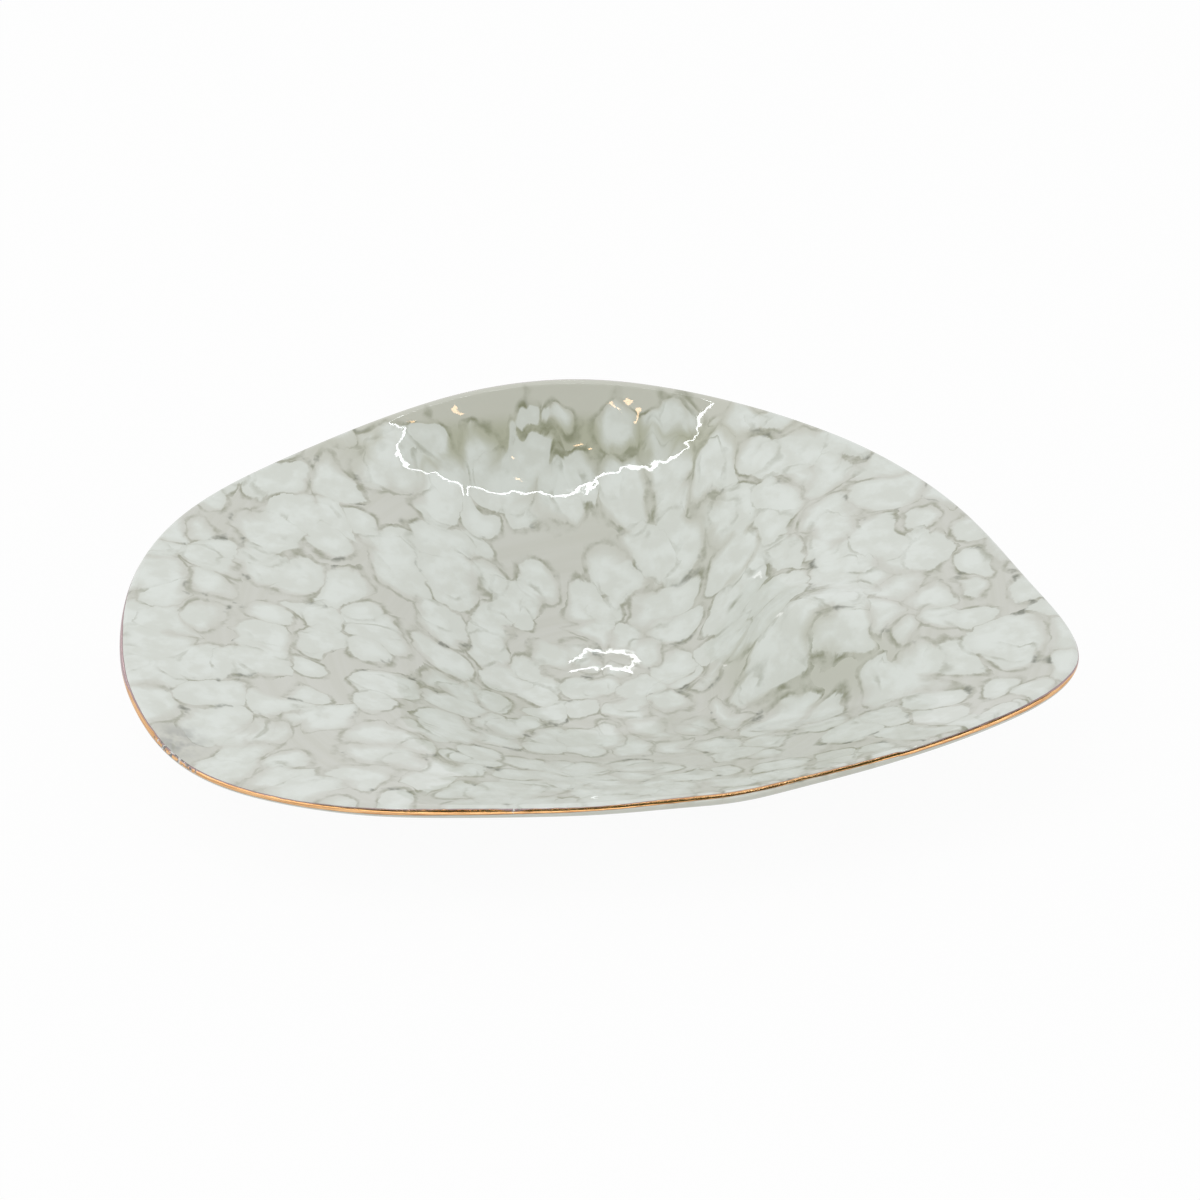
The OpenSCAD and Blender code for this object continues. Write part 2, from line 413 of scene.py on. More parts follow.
def loft_tree():
    tree, given = new_tree("loft_face", [
        ("Around", "Int", 480), ("Rings", "Int", 120), ("Crowding", "Float", 0.75),
        ("Nose", "Float", 0.0), ("Trough", "Float", 0.0), ("Hand marks", "Float", 1.0),
        ("Unevenness", "Float", 0.0), ("Unevenness size", "Float", 0.06), ("Well", "Vector", None),
        ("Material", "Material", None),
    ])
    grid, row, column = numbered_grid(tree, plus(given["Rings"], 1.0), given["Around"])
    position = add(tree, "GeometryNodeInputPosition").outputs[0]

    share = calc("POWER", divide(row, given["Rings"]), given["Crowding"])
    spans = len(net) - 3
    up_place = times(share, float(spans))
    up_step = calc("MINIMUM", calc("FLOOR", up_place), float(spans - 1))
    up_weights = spline_weights(minus(up_place, up_step))
    round_place = times(divide(column, given["Around"]), float(stations))
    round_step = calc("FLOOR", round_place)
    round_weights = spline_weights(minus(round_place, round_step))

    ring_points = []
    for up in range(4):
        start = times(plus(up_step, float(up)), float(stations))
        points = []
        for turn in range(4):
            station = plus(round_step, float(stations + turn - 1))
            station = calc("MODULO", station, float(stations))
            index = whole(plus(start, station))
            points.append(sample(given["Geometry"], position, index))
        ring_points.append(weighted_sum(points, round_weights))
    face_point = weighted_sum(ring_points, up_weights)

    x, y, z = split(face_point)
    noise_place = vector_calc("SCALE", face_point, divide(1.0, given["Unevenness size"]))
    noise = add(tree, "ShaderNodeTexNoise", {"Vector": noise_place, "Scale": 1.0, "Detail": 1.0})
    bumpy = times(minus(noise.outputs[0], 0.5), given["Unevenness"])
    flat_floor = ramp(share, 0.3, 0.6)
    lift = times(bumpy, flat_floor)
    for shares, height in zip(fold_shares, (given["Nose"], given["Trough"])):
        fold = (shares[0] * rim_l / 2, shares[1] * rim_w / 2, shares[2],
                shares[3] * rim_l / 2, shares[4] * rim_l / 2)
        lift = plus(lift, fold_height(x, y, fold, height))
    for mark_x, mark_y, turn, half_length, half_width, mark_rise in hand_marks:
        mark = (mark_x * MM, mark_y * MM, turn, half_length * MM, half_width * MM)
        height = times(given["Hand marks"], mark_rise * MM)
        lift = plus(lift, fold_height(x, y, mark, height))
    placed = vector_calc("ADD", join(x, y, plus(z, lift)), given["Well"])
    return end_tree(moved_to(grid, placed), given["Material"])


# %% Loft the face
around = 480
face_rings = 120
net_points = point_object("control_net", net.reshape(-1, 3))
face_piece = grow(net_points, loft_tree(), "face", {
    "Around": around, "Rings": face_rings, "Crowding": 0.75,
    "Nose": fold_shares[0][5] * rise, "Trough": fold_shares[1][5] * rise,
    "Unevenness": 0.5 * MM, "Unevenness size": 55 * MM, "Well": well,
})
coordinates = np.empty(len(face_piece.data.vertices) * 3)
face_piece.data.vertices.foreach_get("co", coordinates)
face = coordinates.reshape(face_rings + 1, around, 3)
bpy.data.objects.remove(face_piece)
bpy.data.objects.remove(net_points)
print("face from", face.min(axis=(0, 1)), "to", face.max(axis=(0, 1)))

# %% [markdown]
# ## Normals and the land for the foot
# Each coat and the clay's underside lie a fixed way off the face, along its normals. At the rim a
# second direction, pointing out of the bowl, turns the section round the half-round lip. Below the
# well the underside ends in a flat land that the foot ring is luted to.

# %% Normals of the face
def unit(vectors):
    return vectors / np.linalg.norm(vectors, axis=-1, keepdims=True)


tangent = np.roll(face, -1, axis=1) - np.roll(face, 1, axis=1)
later = np.concatenate([face[1:], face[-1:]])
earlier = np.concatenate([face[:1], face[:-1]])
tangent[0] = tangent[1]
up = unit(np.cross(later - earlier, tangent))
up[0] = (0, 0, 1)
outward = unit(np.cross(tangent, up))

# The land's ring and its middle follow the last ring of the face
lowest_ring = round(face_rings * 7 / 16)
land_r = foot_r + glaze_t
spread = face[lowest_ring] - np.array(well)
land_angle = np.arctan2(spread[:, 1], spread[:, 0])
land = np.column_stack([
    well.x + land_r * np.cos(land_angle), well.y + land_r * np.sin(land_angle), np.full(around, foot_h)])
land_middle = np.tile([well.x, well.y, foot_h], (around, 1))
flat_up = np.tile([0.0, 0.0, 1.0], (around, 1))
rows_point = np.concatenate([face, [land], [land_middle]])
rows_up = np.concatenate([up, [flat_up], [flat_up]])
rows_out = np.concatenate([outward, [outward[lowest_ring]], [outward[lowest_ring]]])
land_row = face_rings + 1
middle_row = face_rings + 2

# %% [markdown]
# ## Where the brush went
# The gold line changes along the rim, in width, thinness and wear. Each mark gives a column of the
# rim, the first and the last angle round the lip in degrees, how worn the gold is and how thin. Where
# the photograph shows the line, the marks follow it. Elsewhere they are a guess.

# %% Where the gold lies on the lip
gold_marks = [
    (0, 74, 112, 0, 0.3), (8, 84, 118, 0, 0.3), (150, 88, 122, 0, 0.2), (240, 86, 120, 0, 0.4),
    (255, 78, 115, 0.1, 1.0), (262, 58, 112, 0.2, 1.0), (270, 38, 110, 0.2, 1.0),
    (278, 36, 108, 0.1, 0.7), (286, 38, 108, 0.1, 0.1), (296, 42, 106, 0.3, 0),
    (299, 50, 108, 0.7, 0.1), (305, 56, 110, 0.8, 0.2), (309, 58, 112, 0.2, 0),
    (325, 66, 116, 0, 0), (347, 50, 109, 0, 0), (356, 52, 107, 0.1, 0),
    (359, 55, 106, 0.55, 0.4), (362, 57, 105, 0.1, 0), (375, 60, 101, 0, 0),
    (390, 44, 90, 0, 0), (402, 38, 80, 0, 0), (414, 43, 80, 0, 0),
    (433.4, 56, 96, 0.1, 0), (434.2, 70, 110, 0, 0), (454, 58, 112, 0, 0.1),
    (467, 54, 112, 0, 0.1), (476, 62, 110, 0.2, 0.2),
]
marks_at = np.array(gold_marks).T
columns_round = np.arange(around)
gold_round = np.column_stack([
    np.interp(columns_round, marks_at[0], marks_at[n], period=around) for n in (1, 2, 3, 4)])
edges_round = np.column_stack([gold_round[:, :2], np.zeros(around)])
state_round = np.column_stack([gold_round[:, 2:], np.zeros(around)])
rows_edges = np.tile(edges_round, (len(rows_point), 1, 1))
rows_state = np.tile(state_round, (len(rows_point), 1, 1))
print("gold from", gold_round[:, 0].min(), "to", gold_round[:, 1].max(), "degrees")


def rows_object():
    """The rows as loose points that carry their normal, outward direction and the gold's marks."""
    made = point_object("rows", rows_point.reshape(-1, 3))
    for label, values in (("up", rows_up), ("out", rows_out),
                          ("gold_edges", rows_edges), ("gold_state", rows_state)):
        attribute = made.data.attributes.new(label, "FLOAT_VECTOR", "POINT")
        attribute.data.foreach_set("vector", values.reshape(-1))
    return made


# %% [markdown]
# ## The pattern in the glaze
# The potter dabbed an opaque white glaze over a darker one. In the kiln the dabs spread until they
# almost met, and the darker glass gathered in olive lines between them. A Voronoi texture divides
# space into such cells: one output is how far a point is from its cell's middle, another how far
# from its border. Noise added to the place makes the cells uneven, and a smooth minimum of the two
# distances rounds each dab's corners, so that small grey gaps are left where three dabs meet.
# The same nodes work in Geometry Nodes and in a material, so one function serves the relief and the
# colour, and they always fit. The pattern is laid on a map that is shortened towards the well, which
# draws the dabs out along the slope, and on steep walls noise adds drips. Between the heights
# bare_from and bare_to the dabs thin out and stop.

# %% Field of dabs
dab_size = 17.5 * MM
top_dab_size = 20 * MM
flow = 0.88
flow_radius = 100 * MM
flow_middle = 15 * MM
top_shift = 0.47
bare_from = 66 * MM
bare_to = 74 * MM


def noise_at(place, size, detail=2.0, output="Fac"):
    """Noise about a point, with features of a real size in metres."""
    inputs = {"Vector": place, "Scale": 1 / size, "Detail": detail, "Roughness": 0.55}
    return add(tree_of(place), "ShaderNodeTexNoise", inputs).outputs[output]


def shaken(place, size, distance, detail=2.0):
    """The place, moved to and fro by noise."""
    colour = noise_at(place, size, detail, "Color")
    return go(place, vector_calc("SUBTRACT", colour, (0.5, 0.5, 0.5)), distance)


def dab_layer(place, size, gap, reaches, missing_share, roundness):
    """One layer of dabs: how far a point lies inside its dab, below zero outside it."""
    inputs = {"Vector": place, "Scale": 1 / size, "Randomness": 0.85}
    cell, border = (
        add(tree_of(place), "ShaderNodeTexVoronoi", inputs, voronoi_dimensions="2D", feature=feature)
        for feature in ("F1", "DISTANCE_TO_EDGE"))
    tone, chance = split(cell.outputs["Color"])[:2]
    from_middle = times(cell.outputs["Distance"], size)
    from_border = times(border.outputs["Distance"], size)
    own_reach = ramp(tone, 0.0, 1.0, *reaches)
    missing = calc("LESS_THAN", chance, missing_share)
    own_reach = minus(own_reach, times(missing, 2 * size))
    inner = minus(own_reach, from_middle)
    outer = minus(from_border, gap)
    return calc("SMOOTH_MIN", inner, outer, roundness)


def flow_map(place, steepness):
    """A flat map of the bowl, in which dabs that ran towards the well are round again."""
    x, y = split(vector_calc("SUBTRACT", place, tuple(well)))[:2]
    squares = times_plus(x, x, times_plus(y, y, flow_middle ** 2))
    radius = divide(calc("SQRT", squares), flow_radius)
    round_place = join(divide(x, radius), divide(y, radius), times(radius, 0.2 * flow_radius))
    runs = minus(noise_at(round_place, 11 * MM, 1.0), 0.5)
    drip = times(runs, ramp(steepness, 0.10, 0.40, 0.0, 0.16))
    scale = times(calc("POWER", radius, flow - 1), plus(drip, 1.0))
    return join(times(x, scale), times(y, scale), 0.0)


def dab_field(place, steepness):
    """How far a point lies inside the low dabs, the top ones and both, in metres, outside below zero."""
    flat = flow_map(place, steepness)
    wandering = shaken(flat, 38 * MM, 20 * MM, 1.0)
    bulging = shaken(wandering, 11 * MM, 7 * MM, 1.0)
    ragged = shaken(bulging, 2.6 * MM, 2.6 * MM, 4.0)
    gap = ramp(noise_at(place, 19 * MM, 1.0), 0.42, 0.72, -0.6 * MM, 1.6 * MM)
    runs_down = times(minus(noise_at(flat, 15 * MM, 1.0), 0.5), 11 * MM)
    low = dab_layer(ragged, dab_size, gap, (6 * MM, 13.5 * MM), 0.0, 3.5 * MM)
    shifted = vector_calc("ADD", ragged, (top_shift, 0.0, 0.0))
    top = dab_layer(shifted, top_dab_size, gap, (6 * MM, 12 * MM), 0.34, 3.5 * MM)
    height = plus(split(place)[2], runs_down)
    bare = ramp(height, bare_from, bare_to, 0.0, 9 * MM)
    low, top = minus(low, bare), minus(top, bare)
    return low, top, calc("MAXIMUM", low, top)


# %% [markdown]
# ## A tree that walks a section round the pot
# The clay and every coat are the same thing: a section, walked once round the pot. A section is a
# list of steps, and each step says which row of the face it starts from, how far it goes up along
# the normal, and how far out. One tree walks any of them, welds the seam and the pole, and so makes
# the clay and both coats. Relief lifts each dab a little on the inner face. Two numbers are stored
# for the material: how steep the wall is, and past_lip, which rises to one past the lip's middle,
# where the glaze turns plain.

# %% Tree that walks a section round
lip_steps = 20


def walk_tree():
    tree, given = new_tree("walk_section", [
        ("Section", "Object", None), ("Steps", "Int", 2), ("Around", "Int", 480),
        ("Weld", "Float", 0.000001), ("Relief", "Float", 0.0), ("Relief steps", "Int", 0),
        ("Face rings", "Int", 120), ("Material", "Material", None),
    ])
    position = add(tree, "GeometryNodeInputPosition").outputs[0]
    grid, step, column = numbered_grid(tree, given["Steps"], plus(given["Around"], 1.0))
    station = calc("MODULO", column, given["Around"])
    section = add(tree, "GeometryNodeObjectInfo", {"Object": given["Section"]}).outputs["Geometry"]
    row, rise_up, reach_out = split(sample(section, position, whole(step)))
    index = whole(times_plus(row, given["Around"], station))
    start, up_way, out_way = (
        sample(given["Geometry"], value, index)
        for value in (position, carried(tree, "up"), carried(tree, "out")))
    placed = go(go(start, up_way, rise_up), out_way, reach_out)
    slope = minus(1.0, split(up_way)[2])
    pillow = ramp(dab_field(placed, slope)[2], -1.0 * MM, 5.0 * MM)
    from_rim = divide(minus(given["Face rings"], row), given["Face rings"])
    pillow = times(pillow, ramp(from_rim, 0.0, 0.1))
    pillow = times(pillow, ramp(from_rim, 0.40, 0.65, 1.0, 0.12))
    on_face = calc("LESS_THAN", step, given["Relief steps"])
    lift = times(times(pillow, on_face), given["Relief"])
    moved = moved_to(grid, go(placed, up_way, lift))
    lip_middle = plus(given["Relief steps"], lip_steps / 2)
    past_lip = ramp(minus(step, lip_middle), -3.0, 1.0)
    welded = mark_and_weld(moved, {"steepness": slope, "past_lip": past_lip}, given["Weld"])
    return end_tree(welded, given["Material"])


# %% Sections of the clay and the coats
def upper(offset, step=1):
    """The face from the middle of the well to the rim, a fixed way above it."""
    return [(row, offset, 0.0) for row in range(0, face_rings + 1, step)]


def lip(radius, first, last, steps):
    """Round the lip, from one angle to another, counted from its inner edge."""
    turns = [math.radians(first + (last - first) * n / steps) for n in range(steps + 1)]
    return [(face_rings, radius * math.cos(t) - lip_r, radius * math.sin(t)) for t in turns]


def under(offset, step=1):
    """The underside from the rim in to the lowest row, a fixed way below the face."""
    return [(row, -offset, 0.0) for row in range(face_rings - step, lowest_ring - 1, -step)]


# The clay takes every second row, and the hidden side of a coat every fourth
clay_step = 2
coarse = 4
clay_section = (upper(0.0, clay_step) + lip(lip_r, 0, 180, lip_steps)[1:] + under(wall_t, clay_step)
                + [(land_row, 0.0, 0.0), (middle_row, 0.0, 0.0)])
inner_section = (upper(glaze_t) + lip(lip_r + glaze_t, 0, 180, lip_steps)[1:]
                 + lip(lip_r, 180, 0, lip_steps) + upper(0.0, coarse)[-2::-1])
outer_section = (lip(lip_r + glaze_t, 180, 180, 1)[:1] + under(wall_t + glaze_t)
                 + [(land_row, -glaze_t, 0.0), (land_row, 0.0, 0.0)]
                 + under(wall_t, coarse)[::-1] + lip(lip_r, 180, 180, 1)[:1])
outer_section.append(outer_section[0])

rows = rows_object()
walk = walk_tree()


def walked(name, section, material, relief=0.0):
    """One piece made by walking a section round the pot."""
    section_object = point_object(name + "_section", section)
    made = grow(rows, walk, name, {
        "Section": section_object, "Steps": len(section), "Around": around, "Material": material,
        "Relief": relief, "Relief steps": face_rings + 1, "Face rings": face_rings,
    })
    bpy.data.objects.remove(section_object)
    return made


# %% [markdown]
# ## Materials
# Every glaze is one glass over clay: a matt colour below, and a smooth clear surface above that
# gives the reflections. The Principled shader does both. Its colour carries the pattern. The relief
# of the dabs is in the mesh, and bump only adds fine waves to what the glass reflects.

# %% Colours as they look
def srgb(red, green, blue):
    """A colour given as it looks on a screen, from 0 to 255, as linear light."""
    def linear(value):
        share = value / 255
        return share / 12.92 if share <= 0.04045 else ((share + 0.055) / 1.055) ** 2.4
    return (linear(red), linear(green), linear(blue), 1.0)


def new_material(name):
    """A material, its tree and its Principled shader."""
    made = bpy.data.materials.new(name)
    made.use_nodes = True
    return made, made.node_tree, made.node_tree.nodes["Principled BSDF"]


def mix_colour(share, below, above):
    """From one colour to another. Inputs 6 and 7 of the Mix node are its two colours."""
    inputs = {"Factor": share, 6: below, 7: above}
    return add(tree_of(share), "ShaderNodeMix", inputs, data_type="RGBA").outputs[2]


def object_place(tree):
    return add(tree, "ShaderNodeTexCoord").outputs["Object"]


def attribute(tree, label):
    """A number that a tree stored on the mesh."""
    return add(tree, "ShaderNodeAttribute", attribute_name=label).outputs["Fac"]


def distance_from(place, spot):
    return vector_calc("LENGTH", vector_calc("SUBTRACT", place, tuple(spot)))


def put_bump(shader, height, distance):
    """Bump in which a height of 1 stands for a real distance."""
    inputs = {"Height": height, "Distance": distance, "Strength": 1.0}
    fill(shader, {"Normal": add(shader.id_data, "ShaderNodeBump", inputs).outputs[0]})


# %% [markdown]
# ## The mottled glaze
# Colour is built from below: the dark ground, the white dabs over it, olive lines along the edges of
# the dabs, a few slate pools, one grey stain and painted shade on the high back wall. The smooth glass
# would mirror the lit frame twice, where the photograph has one image, so a dull spot at dull_place
# hides the second. That is a trick for the picture, and no such spot is known on the real bowl.

# %% Mottled glaze
white_dab = srgb(231, 236, 230)
thin_dab = srgb(221, 225, 217)
ground = srgb(215, 216, 208)
deep_ground = srgb(209, 210, 200)
steep_ground = srgb(204, 206, 193)
# Painted shade: a darker olive for the ground high on the steep back wall
painted_shade_olive = srgb(192, 194, 174)
rim_ground = srgb(209, 210, 198)
outline_olive = srgb(158, 160, 140)
steep_olive = srgb(142, 145, 120)
pool_slate = srgb(116, 120, 108)
stain_grey = srgb(168, 170, 166)
dull_place = well + Vector((25.5, 0, 10.5)) * MM
stain_place = well + Vector((-144, -81, 44)) * MM


def dab_line(inside, width):
    """A line along the border of a dab, dark at the white's edge and fading away from it."""
    out_side = ramp(plus(inside, width), 0.0, width)
    in_side = ramp(inside, -0.2 * MM, 0.9 * MM, 1.0, 0.0)
    return times(out_side, in_side)


def mottled_glaze():
    material, tree, shader = new_material("mottled_glaze")
    place = object_place(tree)
    steepness = attribute(tree, "steepness")
    low, top, inside = dab_field(place, steepness)
    steep = ramp(steepness, 0.08, 0.4)

    haze = ramp(noise_at(place, 24 * MM, 1.0), 0.42, 0.68)
    softness = times_plus(haze, 5 * MM, 0.6 * MM)
    cover = ramp(inside, 0.0, softness)
    cloud = ramp(noise_at(place, 9 * MM, 3.0), 0.35, 0.62)
    dense = times(cloud, ramp(inside, 0.3 * MM, 4.5 * MM))
    dab_colour = mix_colour(dense, thin_dab, white_dab)

    wx, wy, wz = split(vector_calc("SUBTRACT", place, tuple(well)))
    squares = plus(times(wx, wx), times(wy, wy))
    stroke_place = join(calc("SQRT", squares), times(wx, 0.06), 0.0)
    strokes = noise_at(stroke_place, 4 * MM, 2.0)
    ground_colour = mix_colour(ramp(strokes, 0.3, 0.7), deep_ground, ground)
    ground_colour = mix_colour(steep, ground_colour, steep_ground)
    # Painted shade: on steep walls from 50 to 60 mm above the well the ground is darkened to that olive
    high_wall_shade_share = times(steep, ramp(wz, 50 * MM, 60 * MM))
    ground_colour = mix_colour(high_wall_shade_share, ground_colour, painted_shade_olive)
    ground_colour = mix_colour(ramp(wz, 63 * MM, 70 * MM), ground_colour, rim_ground)
    body = mix_colour(cover, ground_colour, dab_colour)

    width = ramp(noise_at(place, 9 * MM, 2.0), 0.3, 0.7, 1.0 * MM, 3.0 * MM)
    width = times(width, times_plus(steep, 0.6, 1.0))
    power = ramp(noise_at(place, 7 * MM, 4.0), 0.38, 0.66, 0.15, 1.0)
    power = times(power, times_plus(haze, -0.35, 1.0))
    line = dab_line(inside, width)
    over = ramp(noise_at(place, 23 * MM, 2.0), 0.42, 0.6, 0.0, 0.8)
    under = times_plus(over, -0.5, 0.45)
    over_line = times(dab_line(top, width), over)
    under_line = times(dab_line(low, width), under)
    line = calc("MAXIMUM", calc("MAXIMUM", line, over_line), under_line)
    olive = mix_colour(steep, outline_olive, steep_olive)
    outlined = mix_colour(times(line, power), body, olive)

    pooled = ramp(noise_at(place, 9 * MM, 3.0), 0.60, 0.70, 0.0, 0.8)
    pooled = times(pooled, times_plus(steep, -0.8, 1.0))
    outside = ramp(inside, -3 * MM, 0.0)
    past_edge = ramp(inside, 0.0, 1.8 * MM, 1.0, 0.0)
    pools = times(pooled, times(outside, past_edge))
    coloured = mix_colour(pools, outlined, pool_slate)
    stained = ramp(distance_from(place, stain_place), 2 * MM, 13 * MM, 0.75, 0.0)
    stained = times(stained, ramp(noise_at(place, 5 * MM, 2.0), 0.3, 0.6))
    coloured = mix_colour(stained, coloured, stain_grey)
    plain_side = times(attribute(tree, "past_lip"), 0.85)
    coloured = mix_colour(plain_side, coloured, rim_ground)

    roughness = ramp(distance_from(place, dull_place), 11 * MM, 15.5 * MM, 0.3, 0.025)
    fill(shader, {"Base Color": coloured, "Roughness": roughness, "IOR": 1.62})
    waves = minus(noise_at(place, 5 * MM, 1.0), 0.5)
    waves = times(waves, ramp(steepness, 0.0, 0.1, 0.2, 1.0))
    put_bump(shader, waves, 0.045 * MM)
    return material


# %% Plain glaze and clay
def plain_glaze():
    material, tree, shader = new_material("plain_glaze")
    place = object_place(tree)
    cloud = noise_at(place, 22 * MM, 4.0)
    colour = mix_colour(ramp(cloud, 0.35, 0.65), srgb(196, 200, 186), srgb(212, 216, 206))
    speck = ramp(noise_at(place, 1.6 * MM, 2.0), 0.7, 0.76)
    colour = mix_colour(times(speck, 0.3), colour, srgb(170, 168, 150))
    fill(shader, {"Base Color": colour, "Roughness": 0.09})
    put_bump(shader, noise_at(place, 6 * MM, 2.0), 0.12 * MM)
    return material


def bare_clay():
    material, tree, shader = new_material("bare_clay")
    place = object_place(tree)
    cloud = noise_at(place, 9 * MM, 3.0)
    colour = mix_colour(ramp(cloud, 0.3, 0.7), srgb(206, 192, 168), srgb(222, 211, 192))
    iron = ramp(noise_at(place, 1.1 * MM, 1.0), 0.70, 0.78)
    colour = mix_colour(times(iron, 0.6), colour, srgb(140, 106, 76))
    fill(shader, {"Base Color": colour, "Roughness": 0.75})
    put_bump(shader, noise_at(place, 0.7 * MM, 4.0), 0.15 * MM)
    return material


# %% Gold lustre
gold_bright = srgb(240, 194, 142)
gold_deep = srgb(198, 148, 102)
mauve_edge = srgb(176, 150, 152)
brown_edge = srgb(150, 108, 78)
chip_white = srgb(226, 227, 224)
worn_slate = srgb(136, 132, 128)


def gold_lustre():
    material, tree, shader = new_material("gold_lustre")
    place = object_place(tree)
    across = attribute(tree, "across")
    streak_place = vector_calc("ADD", place, join(0.0, 0.0, times(across, 70 * MM)))
    streaks = noise_at(streak_place, 10 * MM, 5.0)
    colour = mix_colour(ramp(streaks, 0.35, 0.65), gold_deep, gold_bright)
    shaky = times_plus(noise_at(place, 3 * MM, 2.0), 0.3, minus(across, 0.15))
    inner_edge = ramp(minus(shaky, attribute(tree, "thin")), 0.06, 0.24, 1.0, 0.0)
    outer_edge = ramp(shaky, 0.84, 0.96, 0.0, 0.7)
    colour = mix_colour(inner_edge, colour, mauve_edge)
    colour = mix_colour(outer_edge, colour, brown_edge)

    limit = times_plus(attribute(tree, "wear"), -0.40, 0.76)
    grain = noise_at(place, 1.4 * MM, 3.0)
    worn = ramp(grain, limit, plus(limit, 0.06))
    chips = ramp(noise_at(place, 2 * MM, 2.0), 0.48, 0.56)
    colour = mix_colour(worn, colour, mix_colour(chips, worn_slate, chip_white))
    metal = times(minus(1.0, worn), times_plus(inner_edge, -0.5, 1.0))
    roughness = ramp(streaks, 0.3, 0.7, 0.12, 0.24)
    fill(shader, {"Base Color": colour, "Metallic": metal, "Roughness": roughness})
    put_bump(shader, noise_at(streak_place, 6 * MM, 2.0), 0.03 * MM)
    return material


# %% Make the materials
glaze_material = mottled_glaze()
plain_material = plain_glaze()
clay_material = bare_clay()
gold_material = gold_lustre()

# %% [markdown]
# ## The clay and its coats
# Each is one section, walked round the pot.

# %% Walk the clay and the coats
clay = walked("clay_shell", clay_section, clay_material)
inner_coat = walked("mottled_coat", inner_section, glaze_material, 0.085 * MM)
outer_coat = walked("outer_coat", outer_section, plain_material)

# %% [markdown]
# ## Gold line
# The gold was painted on with a brush while the pot turned, so its edges wander. A tree lays a thin
# band along the lip: it reads the rim's points in pairs, mixes them to get many more steps along the
# way, and lets noise move both edges.

# %% Tree that paints the band
def gold_tree():
    tree, given = new_tree("gold_band", [
        ("Along", "Int", 1440), ("Across", "Int", 12), ("Around", "Int", 480), ("Row", "Int", 120),
        ("Lip radius", "Float", lip_r), ("Film", "Float", 0.1 * MM),
        ("Ragged", "Float", 12.0), ("Ragged size", "Float", 0.009), ("Weld", "Float", 0.0000005),
        ("Material", "Material", None),
    ])
    position = add(tree, "GeometryNodeInputPosition").outputs[0]
    loops = times(given["Across"], 2.0)
    grid, step, column = numbered_grid(tree, plus(loops, 1.0), plus(given["Along"], 1.0))
    turn = calc("MODULO", column, given["Along"])
    place = divide(times(turn, given["Around"]), given["Along"])
    before = calc("FLOOR", plus(place, 0.0001))
    between = minus(place, before)
    after = calc("MODULO", plus(before, 1.0), given["Around"])
    row_start = times(given["Row"], given["Around"])

    def mixed(value):
        first, second = (
            sample(given["Geometry"], value, whole(plus(row_start, start))) for start in (before, after))
        return go(first, vector_calc("SUBTRACT", second, first), between)

    rim_point, up_way, out_way = mixed(position), mixed(carried(tree, "up")), mixed(carried(tree, "out"))
    level = calc("MINIMUM", step, minus(loops, step))
    share = divide(level, given["Across"])
    outer_side = calc("LESS_THAN", step, given["Across"])
    from_middle = calc("ABSOLUTE", times_plus(share, 2.0, -1.0))
    film_shape = minus(1.0, calc("POWER", from_middle, 4.0))
    film = times(times(given["Film"], film_shape), outer_side)
    first_angle, last_angle = split(mixed(carried(tree, "gold_edges")))[:2]
    wear, thin = split(mixed(carried(tree, "gold_state")))[:2]
    noise_place = vector_calc("SCALE", rim_point, divide(1.0, given["Ragged size"]))

    def edge(middle, shift):
        inputs = {"Vector": vector_calc("ADD", noise_place, (shift, 0.0, 0.0)), "Scale": 1.0,
                  "Detail": 4.0, "Roughness": 0.7}
        wander = minus(add(tree, "ShaderNodeTexNoise", inputs).outputs[0], 0.5)
        return times_plus(wander, given["Ragged"], middle)

    first_edge, last_edge = edge(first_angle, 0.0), edge(last_angle, 7.3)
    wide = times(minus(last_edge, first_edge), share)
    turned = calc("RADIANS", plus(first_edge, wide))
    radius = plus(given["Lip radius"], film)
    up_part = minus(times(radius, calc("COSINE", turned)), lip_r)
    out_part = times(radius, calc("SINE", turned))
    moved = moved_to(grid, go(go(rim_point, up_way, up_part), out_way, out_part))
    welded = mark_and_weld(moved, {"across": share, "wear": wear, "thin": thin}, given["Weld"])
    return end_tree(welded, given["Material"])


# %% Paint the band
gold = grow(rows, gold_tree(), "gold_band", {
    "Along": 1440, "Across": 12, "Around": around, "Row": face_rings,
    "Lip radius": lip_r + glaze_t + 0.01 * MM, "Film": 0.08 * MM,
    "Ragged": 12.0, "Ragged size": 9 * MM, "Material": gold_material,
})
bpy.data.objects.remove(rows)

# %% [markdown]
# ## Parts of the object
# Each new piece rides on the bowl's one body and takes the place of its CAD node. The
# three turned nodes stay as they are, and only get their materials.

# %% Parts of the object
pieces = (
    (clay, "fired_clay", "clay_body"), (inner_coat, "mottled_glaze", "inner_glaze"),
    (outer_coat, "plain_glaze", "outer_glaze"), (gold, "gold_lustre", "gold_line"),
)
for piece, slot, node in pieces:
    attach(piece, "root")
    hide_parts(node)
turned_nodes = {"foot_ring": clay_material, "foot_glaze": plain_material, "recess_glaze": plain_material}
for node, material in turned_nodes.items():
    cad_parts[node].data.materials.clear()
    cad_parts[node].data.materials.append(material)

# %% [markdown]
# ## Floor, studio and lamps
# The photograph looks as if it was taken in a white tent. A white floor and a white world stand for
# it, and both show plain white to the camera. Glossy glaze is drawn by what it reflects, so the tent
# has an open front: a dark panel with a bright seam along its top, whose reflection runs as a thin
# wavy line over the high wall at the back. The real studio isn't known. This one was worked out
# backwards, from where the reflections lie in the photograph.

